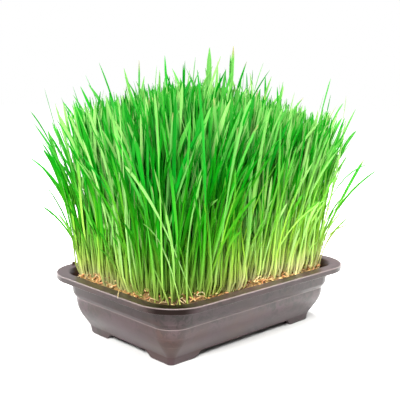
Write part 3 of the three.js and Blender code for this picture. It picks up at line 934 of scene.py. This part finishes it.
# Dark blades are a deeper green, light ones have more wax, and each is as bright as its tint says.
# Painted light brightens the low lime blades, most of them towards the right.
deep = add_node(tree, "MapRange", {"Value": light, "From Min": 0.9, "From Max": 0.5,
                                   "To Max": 0.76})
deep = add_node(tree, "Math", {0: deep, 1: above}, operation="MULTIPLY")
deepened = add_node(tree, "Mix", {0: deep, 6: ribbed, 7: linear(LEAF_DEEP)}, data_type="RGBA")
brightness_and_painted_light = add_node(tree, "MapRange", {"Value": sunny, "To Min": 0.95, "To Max": 1.26})
brightness_and_painted_light = add_node(tree, "Math", {0: brightness_and_painted_light, 1: light}, operation="MULTIPLY")
brightened = add_node(tree, "Mix", {0: 1, 6: deepened, 7: brightness_and_painted_light}, data_type="RGBA",
                  blend_type="MULTIPLY")
waxy = add_node(tree, "MapRange", {"Value": light, "From Min": 0.6, "From Max": 1.4, "To Min": 0,
                                   "To Max": 0.2})
waxy = add_node(tree, "Math", {0: waxy, 1: outer}, operation="MULTIPLY")
surface = add_node(tree, "BsdfPrincipled", {
    "Base Color": brightened, "Roughness": 0.5, "IOR": 1.4, "Specular IOR Level": waxy,
})
through = add_node(tree, "BsdfTranslucent", {"Color": brightened})
both = add_node(tree, "MixShader", {0: LEAF_THROUGH, 1: surface, 2: through})
add_node(tree, "OutputMaterial", {"Surface": both})

# Single blades that stand out: some flop outwards past the tray's far corners, some overtop the
# rest, and some lean across the front. Each is a foot, a knee, a tip and a width, in mm, and how
# light it is.
STRAYS = (
    ((94, -66), (108, -72, 104), (137, -87, 165), 3.0, 0.8),
    ((97, -60), (113, -74, 114), (146, -98, 155), 2.4, 0.74),
    ((92, -58), (110, -69, 128), (141, -90, 160), 2.4, 0.78),
    ((96, -67), (105, -71, 84), (121, -84, 108), 2.4, 0.74),
    ((99, -57), (105, -69, 86), (117, -86, 100), 2.2, 0.74),
    ((99, -50), (111, -65, 145), (134, -78, 193), 4.0, 0.86),
    ((94, -46), (108, -55, 150), (128, -64, 205), 3.6, 0.86),
    ((92, -40), (104, -47, 165), (121, -53, 244), 4.2, 0.84),
    ((88, -44), (106, -52, 160), (126, -66, 220), 3.6, 0.86),
    ((-100, 62), (-108, 79, 132), (-118, 98, 172), 2.8, 0.66),
    ((-101, 60), (-106, 74, 115), (-119, 96, 154), 2.8, 0.7),
    ((-98, 64), (-102, 76, 118), (-111, 92, 176), 2.6, 0.92),
    ((-97, 62), (-107, 83, 150), (-127, 105, 208), 3.0, 0.66),
    ((-94, 60), (-104, 80, 150), (-114, 101, 229), 2.6, 0.66),
    ((-102, 58), (-109, 74, 128), (-119, 89, 181), 3.2, 0.74),
    ((-96, 65), (-103, 82, 130), (-113, 98, 190), 3.0, 0.86),
    ((-96, -50), (-103, -61, 60), (-110, -46, 94), 1.5, 0.9),
    ((-92, -56), (-100, -63, 60), (-101, -60, 98), 1.5, 0.9),
    ((-97, -58), (-95, -66, 61), (-88, -70, 106), 1.5, 0.9),
    ((2, 4), (4, 4, 160), (8, 7, 270), 5.4, 0.94),
    ((14, -10), (15, -12, 160), (24, -9, 272), 5.0, 0.94),
    ((20, -14), (16, -15, 165), (21, -8, 264), 4.6, 0.9),
    ((-46, 40), (-44, 46, 150), (-41, 52, 257), 5.0, 0.84),
    ((62, 40), (60, 44, 150), (66, 40, 252), 3.6, 0.84),
    ((-78, -67), (-110, -58, 129), (-128, -35, 171), 2.4, 1.05),
    ((-93, -66), (-107, -60, 103), (-123, -52, 126), 2.4, 1.1),
    ((-50, -66), (-60, -88, 164), (-48, -97, 225), 2.8, 0.95),
    ((-104, -47), (-115, -46, 143), (-126, -47, 191), 3.6, 0.72),
    ((-86, -67), (-88, -69, 110), (-80, -74, 168), 3.0, 1.0),
)

def bare_border(x, y):
    """How far in from the mat's edge the stand begins, with two bare places along the front."""
    gap = 5 * smooth_step(14, 6, math.hypot(x - BARE_PLACE[0], y - BARE_PLACE[1]))
    gap += 4 * smooth_step(22, 8, off_front_heap(x, y))
    return BORDER + BORDER_VARIES * noise.noise(Vector((x, y, 0)) / 22) + gap


def near_corner(x, y):
    """One at the stand's near corner, where the stems shade each other, and none further off."""
    return smooth_step(0.45, 0.85, -(x / MAT_HALF_X + y / MAT_HALF_Y) / 2)


def in_patch(x, y, column, row):
    """Whether a place on the mat lies in the patch."""
    place_column = math.floor(x / PITCH_X + COLUMNS / 2)
    place_row = math.floor(y / PITCH_Y + ROWS / 2)
    return (place_column, place_row) == (column, row)


def add_strays(bm, dice, column, row):
    """The patch's blades that stand out, and the number of the next free strip of its map."""
    number = 0
    for foot, knee, tip, width, light in STRAYS:
        if in_patch(*foot, column, row):
            tint = (dice.uniform(0.1, 0.3), 0, float(dice.random() < 0.2), light)
            add_blade(bm, number, MAP_STRIPS, bent_line(foot, knee, tip), width, 0.5 * width,
                      dice.uniform(0, 6), 1, tint)
            number += 1
    return number


def add_seedling(bm, dice, number, x, y):
    """A seedling's leaf, and often its second, and the number of the next free strip."""
    bare, margin = bare_border(x, y), on_mat(x, y)
    if margin < bare or (margin < bare + 6 and dice.random() < 0.2):
        return number
    out_x, out_y = x / MAT_HALF_X, y / MAT_HALF_Y
    edge = max(abs(out_x), abs(out_y))
    right = (out_x - out_y) / 2
    fan = FAN + FAN_RIGHT * smooth_step(0.5, 1, right)
    upright = 0.6 * smooth_step(0, 0.6, -out_y) * (1 - out_x ** 2)
    loose = LOOSE + LOOSE_BORDER * smooth_step(24, 8, margin)
    lean = (
        math.radians(fan * out_x ** 3 + dice.gauss(0, loose)),
        math.radians(fan * out_y ** 3 * (1 - upright) + dice.gauss(0, loose)),
    )
    droop_turn = dice.uniform(0, math.tau)
    droop_size = math.radians(abs(dice.gauss(0, DROOP)))
    droop = (
        droop_size * math.cos(droop_turn) + 0.3 * lean[0],
        droop_size * math.sin(droop_turn) + 0.3 * lean[1],
    )

    # The stand is lower at its edges and towards its left and right corners.
    length = LENGTH - 12 * edge ** 3 + min(MOST_EXTRA, dice.gauss(0, LENGTH_SPREAD))
    length -= 11 * smooth_step(0.1, 0.6, abs(right)) + 10 * smooth_step(0.6, 1, right)
    length -= 6 * smooth_step(-0.1, 0.1, right)
    if dice.random() < YOUNGER:
        length *= dice.uniform(0.4, 0.94)
    kick = (dice.gauss(0.15 * out_x, 0.35), dice.gauss(0.15 * out_y, 0.35))
    sway = (dice.gauss(0, 0.08), dice.gauss(0, 0.08))
    kink = None
    if dice.random() < KINKED:
        way = Vector((dice.uniform(-1, 1), dice.uniform(-1, 1), dice.uniform(0, 1.2)))
        kink = (dice.uniform(0.5, 0.85), way.normalized())
    line = blade_line((x, y, MAT_TOP - SET_DEEP), length, lean, droop, kick, sway, kink)
    width = dice.gauss(WIDTH + WIDTH_INSIDE * smooth_step(8, 30, margin), WIDTH_SPREAD)
    width = min(WIDEST, max(NARROWEST, width))
    turn, twist = dice.uniform(0, math.tau), math.radians(dice.gauss(0, TWIST))

    # Blades are limer towards the left and right corners and the lighter they are. The lime towards
    # the right is painted light.
    bright = dice.choice(BRIGHTNESSES) + dice.uniform(-0.08, 0.08)
    hue = (dice.gauss(0.18, 0.14) + 0.32 * smooth_step(0, 0.9, right)
           + 0.14 * smooth_step(0.1, 0.8, -right) + 0.35 * (bright - 0.9))
    tint = (
        min(0.85, max(0, hue)),
        0.85 * smooth_step(5, 26, margin),
        float(dice.random() < SCORCHED),
        bright * (0.96 + 0.08 * smooth_step(0, 0.8, abs(right))),
    )
    add_blade(bm, number, MAP_STRIPS, line, width, SHEATH_WIDTH, turn, twist, tint,
              tip=dice.uniform(0.06, 0.16))
    number += 1
    if dice.random() < TWO_LEAVED and number < MAP_STRIPS:
        start = dice.randint(3, 6)
        heading = dice.uniform(0, math.tau)
        spread = math.radians(dice.uniform(8, 24))
        split = (lean[0] + spread * math.cos(heading), lean[1] + spread * math.sin(heading))
        line = blade_line(line[start], length * dice.uniform(0.35, 0.7), split, droop)
        add_blade(bm, number, MAP_STRIPS, line, width * 0.8, SECOND_SHEATH_WIDTH, heading, twist,
                  tint, opens=(0, 0.3), tip=0.16)
        number += 1
    return number


def add_late_seedling(bm, dice, number, x, y):
    """A thinner and shorter seedling if the place is in the stand's border, and the next strip."""
    bare = bare_border(x, y)
    if not bare - 1 < on_mat(x, y) < bare + 7 or number >= MAP_STRIPS:
        return number
    right = (x / MAT_HALF_X - y / MAT_HALF_Y) / 2
    lean = (math.radians(LATE_FAN * x / MAT_HALF_X + dice.gauss(0, LATE_LOOSE)),
            math.radians(LATE_FAN * y / MAT_HALF_Y + dice.gauss(0, LATE_LOOSE)))
    kick = (dice.gauss(0.1 * x / MAT_HALF_X, 0.5), dice.gauss(0.1 * y / MAT_HALF_Y, 0.5))
    length = dice.uniform(LATE_SHORTEST, LATE_LONGEST)
    line = blade_line((x, y, MAT_TOP - SET_DEEP), length, lean, lean, kick)
    # Painted light and shade: late blades are lighter towards the right and darker at the near
    # corner.
    bright = 0.86 + 0.4 * smooth_step(-0.2, 0.6, right) - 0.36 * near_corner(x, y)
    tint = (dice.uniform(0.25, 0.6) + 0.2 * right, 0, 0, dice.uniform(0.55, 0.9) * bright)
    width, turn = dice.uniform(1.7, 2.6), dice.uniform(0, 6)
    add_blade(bm, number, MAP_STRIPS, line, width, LATE_SHEATH_WIDTH, turn, 1, tint,
              opens=(0.35, 0.8), tip=0.12)
    return number + 1


# Each patch of the stand is a piece, seeded by its own place so that it grows the same every time.
for column in range(COLUMNS):
    for row in range(ROWS):
        dice = random.Random(100 * column + row)
        bm = new_tuft()
        number = add_strays(bm, dice, column, row)
        for i in range(PER_SIDE * PER_SIDE):
            x = (column - COLUMNS / 2 + (i % PER_SIDE + dice.uniform(0, 1)) / PER_SIDE) * PITCH_X
            y = (row - ROWS / 2 + (i // PER_SIDE + dice.uniform(0, 1)) / PER_SIDE) * PITCH_Y
            number = add_seedling(bm, dice, number, x, y)
        for _ in range(LATE_PER_PATCH):
            x = (column - COLUMNS / 2 + dice.uniform(0, 1)) * PITCH_X
            y = (row - ROWS / 2 + dice.uniform(0, 1)) * PITCH_Y
            number = add_late_seedling(bm, dice, number, x, y)
        to_metres(bm)
        patch = make_piece(f"blades_{column + 1}_{row + 1}", bm, leaf)
        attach(patch, "root")
        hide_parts(f"grass_patch_{column + 1}_{row + 1}")
